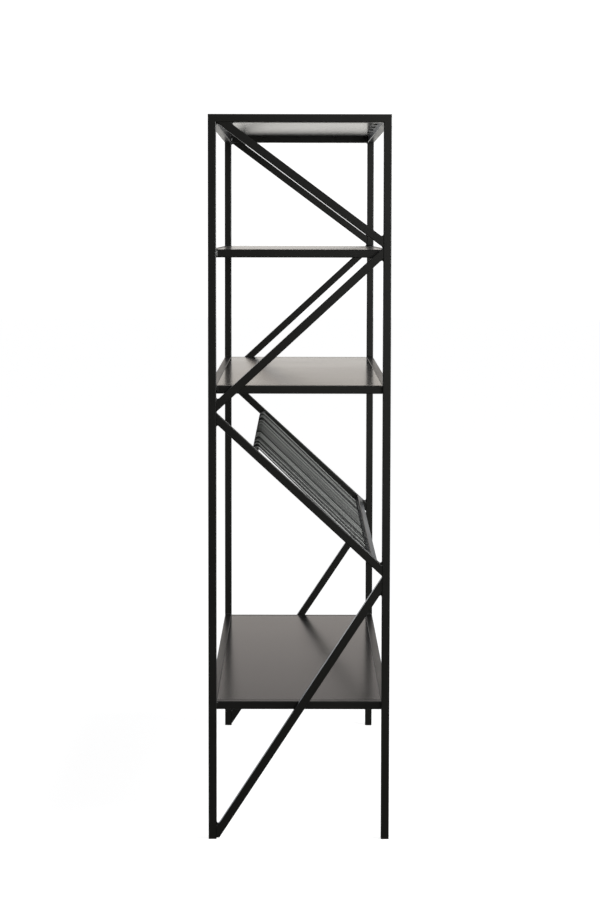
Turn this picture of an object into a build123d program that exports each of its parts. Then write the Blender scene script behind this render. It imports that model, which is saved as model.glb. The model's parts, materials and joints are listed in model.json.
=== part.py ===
from build123d import *
import os
from math import acos, atan, atan2, cos, degrees, hypot, radians, sin

os.makedirs("parts", exist_ok=True)

# Steel bookcase, millimetres. X runs along the shelves, -Y is the front, +Z is up.
# The origin is on the floor, under the middle of the bookcase.

# Overall size and stock
LENGTH = 1200
DEPTH = 450
HEIGHT = 1800
TUBE = 20  # square tube of frames, shelf rails and the rack's lower rail
WALL = 1.5
CORNER = 2  # outer corner radius of the tube
OVERRUN = 60  # extra length on each tube before its ends are cut

# Plastic glides in the posts' ends: a head the size of the tube, and a ribbed plug inside it
GLIDE_HEAD = 4
GLIDE_CHAMFER = 0.8
PLUG_LENGTH = 20
PLUG_CORE = 12
RIB_CLEARANCE = 0.1
RIB_THICKNESS = 1.2
RIB_PITCH = 5
RIB_COUNT = 3

# Braces, from the top down: heights on the posts' inner faces where the top edge starts and the bottom edge ends.
# The first brace's bottom edge runs from corner to node. The last one leans a little more in the left end frame.
BRACE_STARTS = [HEIGHT - TUBE, 1475, 1068, 659]
BRACE_ENDS = {"left": [1475, 1070, 663, -7], "right": [1475, 1070, 663, GLIDE_HEAD]}

# Shelves: height of each top surface
SHELVES = {"top_shelf": HEIGHT, "upper_shelf": 1470, "middle_shelf": 1134, "lower_shelf": 344}
PANEL = 2
PANEL_GAP = 0.4
TAB_LENGTH = 12
TAB_REACH = 10
TAB_THICKNESS = 2
LONG_TAB_PITCH = 150
LONG_TAB_COUNT = 7
SHORT_TAB_PITCH = 108
SHORT_TAB_COUNT = 3

# Magazine rack, placed along the top edge of the third brace from the back post
BAR_DIAMETER = 12
BAR_ALONG = 142
BAR_DEPTH = 11.5  # from the brace's top face to the bar's middle
RAIL_ALONG = 533
ROD_DIAMETER = 4
ROD_FIT = 0.05
ROD_END_DEPTH = 12  # below the brace's top face, where a rod meets the lower rail
HOOK_ANGLE = 200
ROD_MARGIN = 100  # from each end frame to the nearest rod
ROD_SECOND = 150  # from the left end frame to the second rod
ROD_GAPS = 23  # equal gaps between the second rod and the last

# Derived places
frame_x = LENGTH / 2 - TUBE / 2  # middle plane of an end frame
bay = LENGTH / 2 - TUBE  # inner face of an end frame
post_y = DEPTH / 2 - TUBE / 2
clear_y = DEPTH / 2 - TUBE  # inner face of a post
sides = {"left": -1, "right": 1}
rows = {"front": -1, "back": 1}


def save(piece, label):
    piece.part.label = label
    export_step(piece.part, f"parts/{label}.step")


def square_tube(label, start, end, across, cuts):
    """Square tube from start to end, run past both ends and cut by planes that face the waste."""
    first, last = Vector(*start), Vector(*end)
    run = (last - first).normalized()
    section = Plane(origin=first - run * OVERRUN, x_dir=across, z_dir=run)
    with BuildPart() as tube:
        with BuildSketch(section):
            RectangleRounded(TUBE, TUBE, CORNER)
            RectangleRounded(TUBE - 2 * WALL, TUBE - 2 * WALL, CORNER - WALL, mode=Mode.SUBTRACT)
        extrude(amount=(last - first).length + 2 * OVERRUN)
        for cut in cuts:
            split(bisect_by=cut, keep=Keep.BOTTOM)
    save(tube, label)


def slope_between_nodes(drop, width):
    """Slope of a tube whose top edge starts at one node and whose bottom edge ends at the next."""
    return acos(TUBE / hypot(drop, width)) - atan2(width, drop)


# End frames: two posts and a top rail with mitred corners
for side, sx in sides.items():
    x = sx * frame_x
    for row, sy in rows.items():
        y = sy * post_y
        mitre = Plane(origin=(x, sy * DEPTH / 2, HEIGHT), z_dir=(0, -sy, 1))
        foot = Plane(origin=(x, 0, GLIDE_HEAD), z_dir=(0, 0, -1))
        square_tube(f"{side}_{row}_post", (x, y, GLIDE_HEAD), (x, y, HEIGHT), (1, 0, 0), [mitre, foot])
    ends = [Plane(origin=(x, sy * DEPTH / 2, HEIGHT), z_dir=(0, sy, -1)) for sy in rows.values()]
    rail_z = HEIGHT - TUBE / 2
    square_tube(f"{side}_top_rail", (x, -DEPTH / 2, rail_z), (x, DEPTH / 2, rail_z), (1, 0, 0), ends)


# End frames: four braces zigzag down between the posts, the first from the back
for side, sx in sides.items():
    x = sx * frame_x
    for i in range(4):
        start_y = clear_y if i % 2 == 0 else -clear_y
        upper, lower = BRACE_STARTS[i], BRACE_ENDS[side][i]
        if i == 0:  # the first brace's bottom edge runs from corner to node
            slope = atan((upper - lower) / (2 * clear_y))
            half = TUBE / cos(slope) / 2
            top_z, bottom_z = upper + half, lower + half
            head = Plane(origin=(x, 0, upper), z_dir=(0, 0, 1))
        else:
            slope = slope_between_nodes(upper - lower, 2 * clear_y)
            half = TUBE / cos(slope) / 2
            top_z, bottom_z = upper - half, lower + half
            head = Plane(origin=(x, start_y, 0), z_dir=(0, start_y, 0))
        tail = Plane(origin=(x, -start_y, 0), z_dir=(0, -start_y, 0))
        cuts = [head, tail]
        if lower < GLIDE_HEAD:  # trimmed level with the posts' ends
            cuts.append(Plane(origin=(x, 0, GLIDE_HEAD), z_dir=(0, 0, -1)))
        start, end = (x, start_y, top_z), (x, -start_y, bottom_z)
        square_tube(f"{side}_brace_{i + 1}", start, end, (1, 0, 0), cuts)


# Shelves: a mitred frame of four rails, tabs welded inside it, and a panel resting on the tabs
for shelf, top in SHELVES.items():
    z = top - TUBE / 2
    corners = {
        (sx, sy): Plane(origin=(sx * bay, sy * DEPTH / 2, z), z_dir=(sx, -sy, 0))
        for sx in sides.values()
        for sy in rows.values()
    }
    for row, sy in rows.items():
        y = sy * post_y
        cuts = [corners[sx, sy] for sx in sides.values()]
        square_tube(f"{shelf}_{row}_rail", (-bay, y, z), (bay, y, z), (0, 0, 1), cuts)
    for side, sx in sides.items():
        x = sx * (bay - TUBE / 2)
        cuts = [-corners[sx, sy] for sy in rows.values()]
        square_tube(f"{shelf}_{side}_rail", (x, -DEPTH / 2, z), (x, DEPTH / 2, z), (0, 0, 1), cuts)

    with BuildPart() as tabs:
        with BuildSketch(Plane.XY.offset(top - PANEL - TAB_THICKNESS)):
            for sy in rows.values():
                with Locations((0, sy * (clear_y - TAB_REACH / 2))):
                    with GridLocations(LONG_TAB_PITCH, 1, LONG_TAB_COUNT, 1):
                        Rectangle(TAB_LENGTH, TAB_REACH)
            for sx in sides.values():
                with Locations((sx * (bay - TUBE - TAB_REACH / 2), 0)):
                    with GridLocations(1, SHORT_TAB_PITCH, 1, SHORT_TAB_COUNT):
                        Rectangle(TAB_REACH, TAB_LENGTH)
        extrude(amount=TAB_THICKNESS)
    save(tabs, f"{shelf}_tabs")

    with BuildPart() as panel:
        with BuildSketch(Plane.XY.offset(top - PANEL)):
            RectangleRounded(2 * (bay - TUBE - PANEL_GAP), 2 * (clear_y - PANEL_GAP), CORNER)
        extrude(amount=PANEL)
    save(panel, f"{shelf}_panel")


# Magazine rack. Its plane lies along the third brace: x_dir runs down the brace, y_dir off its top face.
rack_slope = slope_between_nodes(BRACE_STARTS[2] - BRACE_ENDS["left"][2], 2 * clear_y)
down_brace = (0, -cos(rack_slope), -sin(rack_slope))
rack = Plane(origin=(0, clear_y, BRACE_STARTS[2]), x_dir=down_brace, z_dir=(-1, 0, 0))

with BuildPart() as upper_bar:
    with BuildSketch(rack):
        with Locations((BAR_ALONG, -BAR_DEPTH)):
            Circle(BAR_DIAMETER / 2)
    extrude(amount=bay, both=True)
save(upper_bar, "rack_upper_bar")

rail_middle = rack.from_local_coords(Vector(RAIL_ALONG, -TUBE / 2, 0))
rail_ends = [Plane(origin=(sx * bay, 0, 0), z_dir=(sx, 0, 0)) for sx in sides.values()]
square_tube(
    "rack_lower_rail",
    (-bay, rail_middle.Y, rail_middle.Z),
    (bay, rail_middle.Y, rail_middle.Z),
    tuple(rack.x_dir),
    rail_ends,
)

# One rod: a straight run tangent to the upper bar, hooked round the bar, its foot cut at the rail
hook_radius = BAR_DIAMETER / 2 + ROD_FIT + ROD_DIAMETER / 2
rail_face = RAIL_ALONG - TUBE / 2
fall = ROD_END_DEPTH - BAR_DEPTH
reach = hypot(rail_face - BAR_ALONG, fall)
hook_start = degrees(acos(hook_radius / reach) - atan2(fall, rail_face - BAR_ALONG))
rod_run = Vector(sin(radians(hook_start)), -cos(radians(hook_start)))
leave = Vector(
    BAR_ALONG + hook_radius * cos(radians(hook_start)), -BAR_DEPTH + hook_radius * sin(radians(hook_start))
)
rod_end = leave + rod_run * (reach + OVERRUN)
foot = Plane(origin=rack.from_local_coords(Vector(rail_face, 0, 0)), z_dir=rack.x_dir)
with BuildPart() as rod:
    with BuildLine(rack) as route:
        Line((rod_end.X, rod_end.Y), (leave.X, leave.Y))
        CenterArc((BAR_ALONG, -BAR_DEPTH), hook_radius, hook_start, HOOK_ANGLE)
    with BuildSketch(Plane(origin=route.line @ 0, z_dir=route.line % 0)):
        Circle(ROD_DIAMETER / 2)
    sweep()
    split(bisect_by=foot, keep=Keep.BOTTOM)

rod_pitch = (2 * bay - ROD_MARGIN - ROD_SECOND) / ROD_GAPS
rod_places = [ROD_MARGIN - bay] + [ROD_SECOND - bay + i * rod_pitch for i in range(ROD_GAPS + 1)]
with BuildPart() as rods:
    with Locations(*[(x, 0, 0) for x in rod_places]):
        add(rod.part)
save(rods, "rack_rods")


# Feet: a plastic glide in the lower end of each post
rib_width = TUBE - 2 * WALL - 2 * RIB_CLEARANCE
for side, sx in sides.items():
    for row, sy in rows.items():
        place = (sx * frame_x, sy * post_y)
        with BuildPart() as glide:
            with BuildSketch():
                with Locations(place):
                    RectangleRounded(TUBE, TUBE, CORNER)
            extrude(amount=GLIDE_HEAD)
            chamfer(glide.edges().group_by(Axis.Z)[0], GLIDE_CHAMFER)
            with BuildSketch(Plane.XY.offset(GLIDE_HEAD)):
                with Locations(place):
                    Rectangle(PLUG_CORE, PLUG_CORE)
            extrude(amount=PLUG_LENGTH)
            for i in range(RIB_COUNT):
                with BuildSketch(Plane.XY.offset(GLIDE_HEAD + RIB_PITCH * (i + 1))):
                    with Locations(place):
                        RectangleRounded(rib_width, rib_width, CORNER / 2)
                extrude(amount=RIB_THICKNESS)
        save(glide, f"{side}_{row}_glide")
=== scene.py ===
"""Looks for the steel bookcase: powder-coated tube, sheet and rod, in a bright plain studio.

Lengths are in metres. X runs along the shelves, -Y is the front and +Z is up, as in the CAD model.
"""

import json
from math import acos, atan2, cos, hypot, radians, sin, sqrt, tan, tau

import bmesh
import bpy
from mathutils import Matrix, Vector


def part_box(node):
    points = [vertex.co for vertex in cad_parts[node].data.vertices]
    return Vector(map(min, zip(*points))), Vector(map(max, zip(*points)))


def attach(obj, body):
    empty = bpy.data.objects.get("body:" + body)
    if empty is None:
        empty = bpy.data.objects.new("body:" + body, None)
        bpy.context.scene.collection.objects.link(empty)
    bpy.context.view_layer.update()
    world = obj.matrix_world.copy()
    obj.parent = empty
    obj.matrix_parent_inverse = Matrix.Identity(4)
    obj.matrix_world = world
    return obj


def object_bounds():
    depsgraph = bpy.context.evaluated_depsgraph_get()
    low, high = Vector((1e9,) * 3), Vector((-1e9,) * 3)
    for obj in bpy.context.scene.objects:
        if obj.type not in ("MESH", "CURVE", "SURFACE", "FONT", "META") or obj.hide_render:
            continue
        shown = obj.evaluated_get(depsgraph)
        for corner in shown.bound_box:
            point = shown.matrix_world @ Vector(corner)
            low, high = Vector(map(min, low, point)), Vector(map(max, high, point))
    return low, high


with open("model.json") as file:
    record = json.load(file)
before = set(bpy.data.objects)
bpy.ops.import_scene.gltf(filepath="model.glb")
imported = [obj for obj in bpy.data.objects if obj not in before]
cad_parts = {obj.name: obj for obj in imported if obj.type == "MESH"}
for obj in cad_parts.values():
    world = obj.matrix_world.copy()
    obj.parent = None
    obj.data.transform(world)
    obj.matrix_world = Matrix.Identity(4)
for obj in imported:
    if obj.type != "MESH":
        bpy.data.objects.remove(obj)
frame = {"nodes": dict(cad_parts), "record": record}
cad_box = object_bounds()
nodes = frame["nodes"]
low = cad_box[0]

# Camera: in front of the left end frame, above the upper shelf, looking slightly down along the shelves
CAMERA_DISTANCE = 5.027  # from the left end frame's outer face
CAMERA_HEIGHT = 1.517
CAMERA_ASIDE = 0.00669
CAMERA_PITCH = -0.06804
CAMERA_YAW = 0.00158
CAMERA_ROLL = 0.00178
CAMERA_LENS = 81.984
CAMERA_SHIFT = -0.0889  # upwards, as a share of the picture's height

# Studio. The world is blended by direction: across the bookcase, along it, and from the front backwards.
FLOOR_RADIUS = 30
FLOOR_GREY = 0.4
FLOOR_GLOW = 0.87
DOME_RADIUS = 40
DOME_GLOW = 1.1
WORLD_ASIDE = (0.06, 0.4)
WORLD_ALONG = (-0.1, 0.8)
WORLD_FRONT = (-0.16, -0.05)
WORLD_FRONT_STRENGTH = 0.5

# Steel stock and the rack's rods, as in the CAD model
TUBE = 0.020
BAR_RADIUS = 0.006
ROD_RADIUS = 0.002
ROD_FOOT_DEPTH = 0.012  # below the brace's top face
ROD_MARGIN = 0.100  # from each end frame to the nearest rod
ROD_SECOND = 0.150  # from the left end frame to the second rod
ROD_GAPS = 23
BRACE_FEET = {"left": -0.007, "right": 0.004}  # height on the post where the last brace's bottom edge ends
TAB_DEPTH = 0.004  # from a shelf's top face to the underside of its tabs
LONG_TABS = [0.150 * (i - 3) for i in range(7)]
SHORT_TABS = [0.108 * (i - 1) for i in range(3)]

# The sheet panels' crown, as height over length squared, and their slow unevenness
SHEET_CROWN = 0.0071
SHEET_UNEVEN = 0.00015
SHEET_UNEVEN_SCALE = 1.7

# Powder coat: noise scales per metre, and the part of a noise's range that runs from one tone to the other
PEEL_SCALE = 260
PATCH_SCALE = 14
SHEEN_SCALE = 4
STRIPE_SHEEN_RATIO = 1.3  # of the sheen's scale to the tone's, on the rods
PATCH_TONES = (0.35, 0.65)
# On the rods, the stripes run from the black coat to a painted highlight that stands in for their
# reflections
STRIPE_PAINTED_HIGHLIGHT_TONES = (0.45, 0.57)
SHEEN_TONES = (0.3, 0.7)

# Weld beads
BEAD_RADIUS = 0.0042
BEAD_LENGTH = 0.0180
BEAD_STEP = 0.0011
BEAD_RIPPLE = 0.04
BEAD_PITCH = 0.0031
BEAD_HOLLOW = 0.12  # 0.5 is flat, less is hollow
BEAD_SINK = 0.0006
BEAD_ARC = 6  # steps across a bead
BEAD_MIN_STEPS = 6  # along the shortest bead
BEAD_END_SIZE = 0.2
BEAD_SHARP_ANGLE = 50  # degrees
RING_STEPS = 24
RING_RIPPLES = 5
CORNER_BEAD_DEPTH = 0.011  # from a shelf's top face to the middle of the bead in its frame's corner
CORNER_BEAD_LENGTH = 0.015
TAB_BEAD_RADIUS = 0.0018
TAB_BEAD_LENGTH = 0.0105
BAR_BEAD_LEG = 0.0016
ROD_BEAD_LEG = 0.0012
ROD_RING_STEPS = 12
HOOK_BEAD_RADIUS = 0.0014
HOOK_BEAD_LENGTH = 0.005
HOOK_BEAD_OFFSET = 0.7  # of the rod's radius, from its middle

SIDES = {"left": -1, "right": 1}
ROWS = {"front": -1, "back": 1}
SHELVES = ("top_shelf", "upper_shelf", "middle_shelf", "lower_shelf")
X, Y, Z = Vector((1, 0, 0)), Vector((0, 1, 0)), Vector((0, 0, 1))


def new_tree(owner):
    """Clears a material's or the world's nodes and returns its tree."""
    owner.use_nodes = True
    owner.node_tree.nodes.clear()
    return owner.node_tree


def add_node(tree, kind, inputs=None, **settings):
    """Adds a node, sets its attributes and its inputs. An input given as a socket is linked."""
    node = tree.nodes.new(kind)
    for name, value in settings.items():
        setattr(node, name, value)
    for key, value in (inputs or {}).items():
        if isinstance(value, bpy.types.NodeSocket):
            tree.links.new(value, node.inputs[key])
        else:
            node.inputs[key].default_value = value
    return node


def noise(tree, vector, scale, detail):
    """Noise of about 1/scale metres."""
    inputs = {"Vector": vector, "Scale": scale, "Detail": detail}
    return add_node(tree, "ShaderNodeTexNoise", inputs).outputs["Fac"]


def remap(tree, value, low_in, high_in, low_out, high_out, smooth=False):
    """Maps a range of a value to another range, clamped."""
    inputs = {
        "Value": value,
        "From Min": low_in,
        "From Max": high_in,
        "To Min": low_out,
        "To Max": high_out,
    }
    kind = "SMOOTHSTEP" if smooth else "LINEAR"
    return add_node(tree, "ShaderNodeMapRange", inputs, interpolation_type=kind).outputs["Result"]


def mix_colours(tree, factor, first, second):
    """Goes from the first colour to the second as the factor goes from 0 to 1."""
    inputs = {"Factor": factor, "A": first, "B": second}
    return add_node(tree, "ShaderNodeMix", inputs, data_type="RGBA").outputs["Result"]


def crown(tree, place):
    """Height of a sheet that is slightly crowned along the shelf, and slowly uneven."""
    along = add_node(tree, "ShaderNodeSeparateXYZ", {"Vector": place}).outputs["X"]
    squared = add_node(tree, "ShaderNodeMath", {0: along, 1: along}, operation="MULTIPLY").outputs["Value"]
    slow = noise(tree, place, SHEET_UNEVEN_SCALE, 0)
    inputs = {0: squared, 1: -SHEET_CROWN, 2: remap(tree, slow, 0, 1, 0, SHEET_UNEVEN)}
    return add_node(tree, "ShaderNodeMath", inputs, operation="MULTIPLY_ADD").outputs["Value"]


def coated_metal(name, dark, light, gloss, matt, peel, sheet=False, stripes=0.0):
    """Powder coat: orange peel as bump, with patches, or stripes along X, of different gloss and colour;
    on the rods the light stripes are painted highlights.
    """
    material = bpy.data.materials.new(name)
    tree = new_tree(material)
    place = add_node(tree, "ShaderNodeTexCoord").outputs["Object"]
    if stripes:
        along = add_node(tree, "ShaderNodeSeparateXYZ", {"Vector": place}).outputs["X"]
        spread = add_node(tree, "ShaderNodeCombineXYZ", {"X": along}).outputs["Vector"]
        patches = noise(tree, spread, stripes, 0)
        sheen = noise(tree, spread, stripes * STRIPE_SHEEN_RATIO, 0)
        # Random stripes along the rods, whose light end is a painted highlight
        tone_and_highlight = remap(tree, patches, *STRIPE_PAINTED_HIGHLIGHT_TONES, 0, 1)
    else:
        patches = noise(tree, place, PATCH_SCALE, 3)
        sheen = noise(tree, place, SHEEN_SCALE, 1)
        tone_and_highlight = remap(tree, patches, *PATCH_TONES, 0, 1)
    colour = mix_colours(tree, tone_and_highlight, (*dark, 1), (*light, 1))
    inputs = {"Height": noise(tree, place, PEEL_SCALE, 1), "Strength": 1.0, "Distance": peel}
    if sheet:
        shape = {"Height": crown(tree, place), "Strength": 1.0, "Distance": 1.0}
        inputs["Normal"] = add_node(tree, "ShaderNodeBump", shape).outputs["Normal"]
    bump = add_node(tree, "ShaderNodeBump", inputs)
    shader = add_node(
        tree,
        "ShaderNodeBsdfPrincipled",
        {
            "Base Color": colour,
            "Roughness": remap(tree, sheen, *SHEEN_TONES, gloss, matt),
            "Normal": bump.outputs["Normal"],
        },
    )
    output = add_node(tree, "ShaderNodeOutputMaterial")
    tree.links.new(shader.outputs["BSDF"], output.inputs["Surface"])
    return material


def emitter(name, colour, strength):
    material = bpy.data.materials.new(name)
    tree = new_tree(material)
    shader = add_node(tree, "ShaderNodeEmission", {"Color": (*colour, 1), "Strength": strength})
    output = add_node(tree, "ShaderNodeOutputMaterial")
    tree.links.new(shader.outputs["Emission"], output.inputs["Surface"])
    return material


# Finishes
finishes = {
    "frame_coat": coated_metal(
        "frame_coat",
        dark=(0.0062, 0.0062, 0.0052),
        light=(0.0078, 0.0078, 0.0066),
        gloss=0.28,
        matt=0.33,
        peel=0.0000007,
    ),
    "panel_coat": coated_metal(
        "panel_coat",
        dark=(0.0065, 0.0065, 0.0060),
        light=(0.0080, 0.0079, 0.0072),
        gloss=0.180,
        matt=0.195,
        peel=0.000001,
        sheet=True,
    ),
    "rod_coat": coated_metal(
        "rod_coat",
        dark=(0.0070, 0.0072, 0.0068),
        # The light stripes are a painted highlight, standing in for the rods' reflections of the bright
        # studio
        light=(0.1900, 0.1940, 0.1860),
        gloss=0.40,
        matt=0.55,
        peel=0.000001,
        stripes=24.0,
    ),
    "glide_plastic": coated_metal(
        "glide_plastic",
        dark=(0.0150, 0.0125, 0.0100),
        light=(0.0200, 0.0165, 0.0130),
        gloss=0.45,
        matt=0.58,
        peel=0.00003,
    ),
}
slots = {part["node"]: part["material_slot"] for part in frame["record"]["subparts"]}
for name, node in nodes.items():
    for slot in node.material_slots:
        slot.material = finishes[slots[name]]


# Welds: hollow fillets with a slight ripple, under the same coat as the tube
def bead_profile(corner, first, second, leg, size):
    """A fillet's section: a hollow arc from one face to the other, and a point sunk below the corner."""
    arc = []
    for i in range(BEAD_ARC + 1):
        t = i / BEAD_ARC
        middle = 2 * t * (1 - t) * BEAD_HOLLOW * (first + second)
        arc.append(corner + leg * size * ((1 - t) ** 2 * first + middle + t**2 * second))
    return arc + [corner - (first + second).normalized() * BEAD_SINK]


def skin(mesh, sections, closed):
    """Joins sections into a tube, with caps unless it is closed on itself."""
    rings = [[mesh.verts.new(point) for point in section] for section in sections]
    count = len(rings[0])
    pairs = zip(rings, rings[1:] + rings[:1]) if closed else zip(rings, rings[1:])
    for first, second in pairs:
        for i in range(count):
            j = (i + 1) % count
            mesh.faces.new((first[i], first[j], second[j], second[i]))
    if not closed:
        mesh.faces.new(rings[0][::-1])
        mesh.faces.new(rings[-1])


def fillet(mesh, corner, along, first, second, radius=BEAD_RADIUS, length=BEAD_LENGTH):
    """A straight bead in the corner between two faces that leave it along first and second."""
    leg = radius / tan(first.angle(second) / 2)
    steps = max(BEAD_MIN_STEPS, round(length / BEAD_STEP))
    sections = []
    for i in range(steps + 1):
        place = (i / steps - 0.5) * length
        to_end = min(1.0, (length / 2 - abs(place)) / radius)
        ripple = 1 + BEAD_RIPPLE * cos(tau * place / BEAD_PITCH)
        size = max(BEAD_END_SIZE, sqrt(1 - (1 - to_end) ** 2)) * ripple
        sections.append(bead_profile(corner + along * place, first, second, leg, size))
    skin(mesh, sections, closed=False)


def ring_fillet(mesh, centre, axis, across, radius, leg, steps=RING_STEPS):
    """A bead round the end of a bar that leaves a face along axis."""
    other = axis.cross(across)
    sections = []
    for i in range(steps):
        turn = tau * i / steps
        out = across * cos(turn) + other * sin(turn)
        size = 1 + BEAD_RIPPLE * cos(RING_RIPPLES * turn)
        sections.append(bead_profile(centre + out * radius, out, axis, leg, size))
    skin(mesh, sections, closed=True)


def weld_piece(name, draw):
    """Makes one piece of welds from a function that adds beads to a mesh."""
    mesh = bmesh.new()
    draw(mesh)
    bmesh.ops.recalc_face_normals(mesh, faces=mesh.faces)
    data = bpy.data.meshes.new(name)
    mesh.to_mesh(data)
    mesh.free()
    data.shade_smooth()
    data.set_sharp_from_angle(angle=radians(BEAD_SHARP_ANGLE))
    data.materials.append(finishes["frame_coat"])
    piece = bpy.data.objects.new(name, data)
    bpy.context.scene.collection.objects.link(piece)
    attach(piece, "frame")


post_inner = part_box("left_back_post")[0].y  # inner face of a back post
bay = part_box("upper_shelf_back_rail")[1].x  # end of a shelf, at the inner face of an end frame
shelf_inner = bay - TUBE
rail_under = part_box("left_top_rail")[0].z


def brace(side, number):
    """A brace's start side, direction down its length, height across a post, and end heights."""
    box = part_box(f"{side}_brace_{number}")
    upper, lower = box[1].z, box[0].z if number < 4 else BRACE_FEET[side]
    start = 1 if number % 2 else -1
    drop, width = upper - lower, 2 * post_inner
    slope = atan2(drop, width) if number == 1 else acos(TUBE / hypot(drop, width)) - atan2(width, drop)
    down = Vector((0, -start * cos(slope), -sin(slope)))
    return start, down, TUBE / cos(slope), upper, lower


def end_frame_welds(side):
    """Beads where the top rail and the braces meet the posts and each other."""
    x = SIDES[side] * (bay + TUBE / 2)

    def draw(mesh):
        fillet(mesh, Vector((x, -post_inner, rail_under)), X, Y, -Z)
        for number in (1, 2, 3, 4):
            start, down, height, upper, lower = brace(side, number)
            if number == 1:
                head = post_inner - height * down.y / down.z
                fillet(mesh, Vector((x, head, upper)), X, -Y, down)
                fillet(mesh, Vector((x, post_inner, upper)), X, -Z, down)
            else:
                fillet(mesh, Vector((x, start * post_inner, upper - height)), X, -Z, down)
            if number < 4:  # the bead to the next brace lies where the two edges cross, near the post
                following, following_upper = brace(side, number + 1)[1::2]
                steepness = abs(down.z / down.y), abs(following.z / following.y)
                sunk = (lower - following_upper) / sum(steepness)
                corner = Vector((x, -start * (post_inner + sunk), lower - sunk * steepness[0]))
                fillet(mesh, corner, X, -down, following)
            fillet(mesh, Vector((x, -start * post_inner, lower + height)), X, Z, -down)

    return draw


def shelf_welds(shelf):
    """Beads in a shelf frame's corners, under its tabs and, below the top shelf, at the posts."""
    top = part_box(f"{shelf}_back_rail")[1].z

    def draw(mesh):
        for sx in SIDES.values():
            for sy in ROWS.values():
                inward = Vector((-sx, 0, 0))
                across = Vector((0, -sy, 0))
                inner_corner = Vector((sx * shelf_inner, sy * post_inner, top - CORNER_BEAD_DEPTH))
                fillet(mesh, inner_corner, Z, inward, across, length=CORNER_BEAD_LENGTH)
                if shelf == "top_shelf":
                    continue
                post_middle = sy * (post_inner + TUBE / 2)
                fillet(mesh, Vector((sx * bay, post_middle, top)), Y, Z, inward)
                fillet(mesh, Vector((sx * bay, post_middle, top - TUBE)), Y, -Z, inward)
                fillet(mesh, Vector((sx * bay, sy * post_inner, top - TUBE / 2)), Z, -inward, across)
        for sy in ROWS.values():
            for x in LONG_TABS:
                corner = Vector((x, sy * post_inner, top - TAB_DEPTH))
                fillet(mesh, corner, X, Vector((0, -sy, 0)), -Z, TAB_BEAD_RADIUS, TAB_BEAD_LENGTH)
        for sx in SIDES.values():
            for y in SHORT_TABS:
                corner = Vector((sx * shelf_inner, y, top - TAB_DEPTH))
                fillet(mesh, corner, Y, Vector((-sx, 0, 0)), -Z, TAB_BEAD_RADIUS, TAB_BEAD_LENGTH)

    return draw


def rack_welds(mesh):
    """Beads at the ends of the rack's bar, lower rail and rods, and on both sides of each hook."""
    down, node = brace("left", 3)[1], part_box("left_brace_3")[1].z
    off = Vector((0, down.z, -down.y))
    top_edge = Vector((0, post_inner, node))
    bar = sum(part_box("rack_upper_bar"), Vector()) / 2
    rail = sum(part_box("rack_lower_rail"), Vector()) / 2
    for sx in SIDES.values():
        inward = Vector((-sx, 0, 0))
        ring_fillet(mesh, bar - inward * bay, inward, off, BAR_RADIUS, BAR_BEAD_LEG)
        for way in (down, -down):
            fillet(mesh, rail - inward * bay + way * TUBE / 2, off, way, inward)
    foot = top_edge + down * ((rail - top_edge).dot(down) - TUBE / 2) - off * ROD_FOOT_DEPTH
    pitch = (2 * bay - ROD_MARGIN - ROD_SECOND) / ROD_GAPS
    places = [ROD_MARGIN - bay] + [ROD_SECOND - bay + i * pitch for i in range(ROD_GAPS + 1)]
    for x in places:
        ring_fillet(mesh, foot + X * x, -down, X, ROD_RADIUS, ROD_BEAD_LEG, ROD_RING_STEPS)
        for way in (X, -X):
            corner = bar + off * BAR_RADIUS + X * x + way * ROD_RADIUS * HOOK_BEAD_OFFSET
            fillet(mesh, corner, down, way, off, HOOK_BEAD_RADIUS, HOOK_BEAD_LENGTH)


for side in SIDES:
    weld_piece(f"{side}_end_frame_welds", end_frame_welds(side))
for shelf in SHELVES:
    weld_piece(f"{shelf}_welds", shelf_welds(shelf))
weld_piece("rack_welds", rack_welds)


# Studio: a pale floor and backdrop that only the camera sees, and a world that lights the object
def floor():
    place = (0, 0, low.z)
    bpy.ops.mesh.primitive_circle_add(vertices=128, radius=FLOOR_RADIUS, fill_type="NGON", location=place)
    piece = bpy.context.object
    piece.name = "floor"
    material = bpy.data.materials.new("floor_paint")
    tree = new_tree(material)
    shade = add_node(tree, "ShaderNodeBsdfDiffuse", {"Color": (FLOOR_GREY, FLOOR_GREY, FLOOR_GREY, 1)})
    glow = add_node(tree, "ShaderNodeEmission", {"Color": (1, 1, 1, 1), "Strength": FLOOR_GLOW})
    both = add_node(tree, "ShaderNodeAddShader")
    tree.links.new(shade.outputs["BSDF"], both.inputs[0])
    tree.links.new(glow.outputs["Emission"], both.inputs[1])
    output = add_node(tree, "ShaderNodeOutputMaterial")
    tree.links.new(both.outputs["Shader"], output.inputs["Surface"])
    piece.data.materials.append(material)
    return piece


def backdrop():
    bpy.ops.mesh.primitive_uv_sphere_add(segments=64, ring_count=32, radius=DOME_RADIUS)
    piece = bpy.context.object
    piece.name = "backdrop"
    piece.data.materials.append(emitter("backdrop_paint", (1, 1, 1), DOME_GLOW))
    return piece


for stage_piece in (floor(), backdrop()):
    stage_piece.visible_diffuse = False
    stage_piece.visible_glossy = False
    stage_piece.visible_transmission = False
    stage_piece.visible_shadow = False


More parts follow.
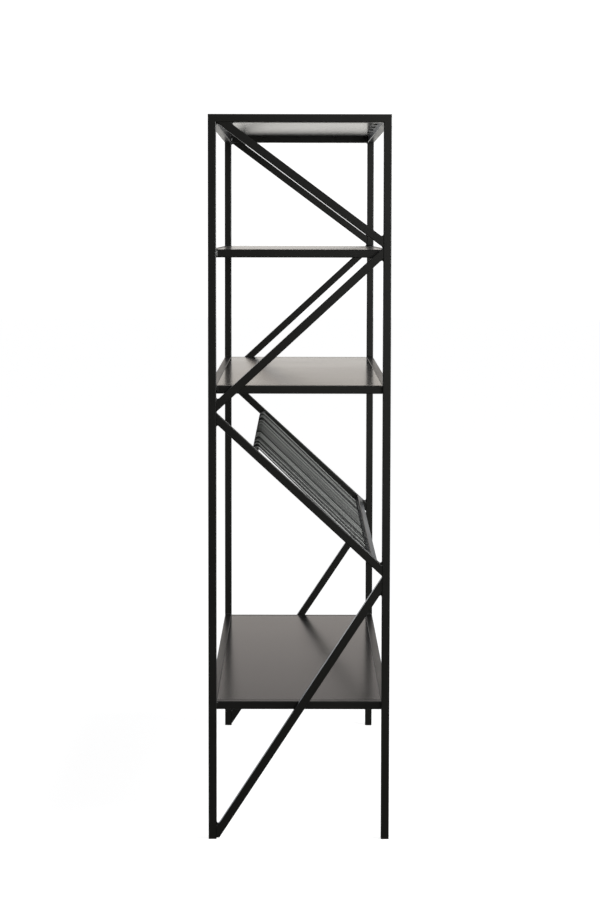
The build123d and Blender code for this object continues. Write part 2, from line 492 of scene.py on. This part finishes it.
def studio_light():
    """A world that is bright beyond the far end frame, dim behind the camera, and dimmer at the front."""
    world = bpy.data.worlds.new("studio")
    bpy.context.scene.world = world
    tree = new_tree(world)
    direction = add_node(tree, "ShaderNodeTexCoord").outputs["Generated"]
    split = add_node(tree, "ShaderNodeSeparateXYZ", {"Vector": direction})
    along, across, up = (split.outputs[axis] for axis in "XYZ")
    height = remap(tree, up, -1, 1, 0, 1)

    def ramp(stops):
        """Colours by height, from straight down at 0 to straight up at 1."""
        node = add_node(tree, "ShaderNodeValToRGB", {"Fac": height})
        points = node.color_ramp.elements
        for i, (place, value) in enumerate(stops):
            point = points[i] if i < 2 else points.new(place)
            point.position = place
            point.color = (*value, 1)
        return node.outputs["Color"]

    warm = ramp(
        [
            (0.0, (0.30, 0.30, 0.30)),
            (0.40, (0.60, 0.60, 0.58)),
            (0.45, (1.05, 1.03, 0.98)),
            (0.475, (1.35, 1.32, 1.25)),
            (0.505, (1.75, 1.75, 1.72)),
            (0.53, (1.04, 1.00, 0.95)),
            (0.547, (0.74, 0.67, 0.58)),
            (0.58, (0.74, 0.69, 0.66)),
            (0.615, (0.50, 0.46, 0.44)),
            (0.70, (0.33, 0.33, 0.34)),
            (1.0, (0.50, 0.50, 0.50)),
        ]
    )
    cool = ramp(
        [
            (0.0, (0.30, 0.30, 0.30)),
            (0.40, (0.60, 0.63, 0.67)),
            (0.47, (0.95, 1.02, 1.12)),
            (0.52, (0.95, 1.03, 1.15)),
            (0.60, (0.50, 0.54, 0.60)),
            (0.75, (0.35, 0.36, 0.38)),
            (1.0, (0.50, 0.50, 0.50)),
        ]
    )
    near = ramp(
        [
            (0.0, (0.10, 0.10, 0.09)),
            (0.42, (0.15, 0.15, 0.14)),
            (0.50, (0.14, 0.14, 0.13)),
            (0.60, (0.20, 0.20, 0.20)),
            (0.75, (0.35, 0.35, 0.36)),
            (1.0, (0.50, 0.50, 0.50)),
        ]
    )
    aside = add_node(tree, "ShaderNodeMath", {0: across}, operation="ABSOLUTE").outputs["Value"]
    far = mix_colours(tree, remap(tree, aside, *WORLD_ASIDE, 0, 1, smooth=True), warm, cool)
    colour = mix_colours(tree, remap(tree, along, *WORLD_ALONG, 0, 1, smooth=True), near, far)
    strength = remap(tree, across, *WORLD_FRONT, WORLD_FRONT_STRENGTH, 1, smooth=True)
    shader = add_node(tree, "ShaderNodeBackground", {"Color": colour, "Strength": strength})
    output = add_node(tree, "ShaderNodeOutputWorld")
    tree.links.new(shader.outputs["Background"], output.inputs["Surface"])


def softbox(name, place, target, width, height, power, colour):
    """A rectangular area light that the camera does not see."""
    data = bpy.data.lights.new(name, "AREA")
    data.shape = "RECTANGLE"
    data.size, data.size_y = width, height
    data.energy = power
    data.color = colour
    piece = bpy.data.objects.new(name, data)
    bpy.context.scene.collection.objects.link(piece)
    heading = (Vector(target) - Vector(place)).to_track_quat("-Z", "Y")
    piece.matrix_world = Matrix.Translation(Vector(place)) @ heading.to_matrix().to_4x4()
    piece.visible_camera = False


def camera():
    data = bpy.data.cameras.new("camera")
    data.lens = CAMERA_LENS
    data.shift_y = CAMERA_SHIFT
    piece = bpy.data.objects.new("camera", data)
    bpy.context.scene.collection.objects.link(piece)
    heading = Matrix.Rotation(radians(-90) - CAMERA_YAW, 4, "Z")
    tilt = Matrix.Rotation(radians(90) + CAMERA_PITCH, 4, "X")
    roll = Matrix.Rotation(CAMERA_ROLL, 4, "Z")
    place = Vector((low.x - CAMERA_DISTANCE, CAMERA_ASIDE, CAMERA_HEIGHT))
    piece.matrix_world = Matrix.Translation(place) @ heading @ tilt @ roll
    bpy.context.scene.camera = piece


studio_light()
softbox(
    "key_softbox",
    place=(-6.0, -2.45, 1.6),
    target=(-0.6, 0.0, 1.2),
    width=3.9,
    height=3.6,
    power=38,
    colour=(1.0, 0.99, 0.97),
)
softbox(
    "rack_softbox",
    place=(-0.9, -2.4, 1.8),
    target=(0.0, 0.0, 0.9),
    width=1.6,
    height=1.0,
    power=100,
    colour=(0.98, 1.0, 0.99),
)
camera()
bpy.context.scene.view_settings.view_transform = "Standard"
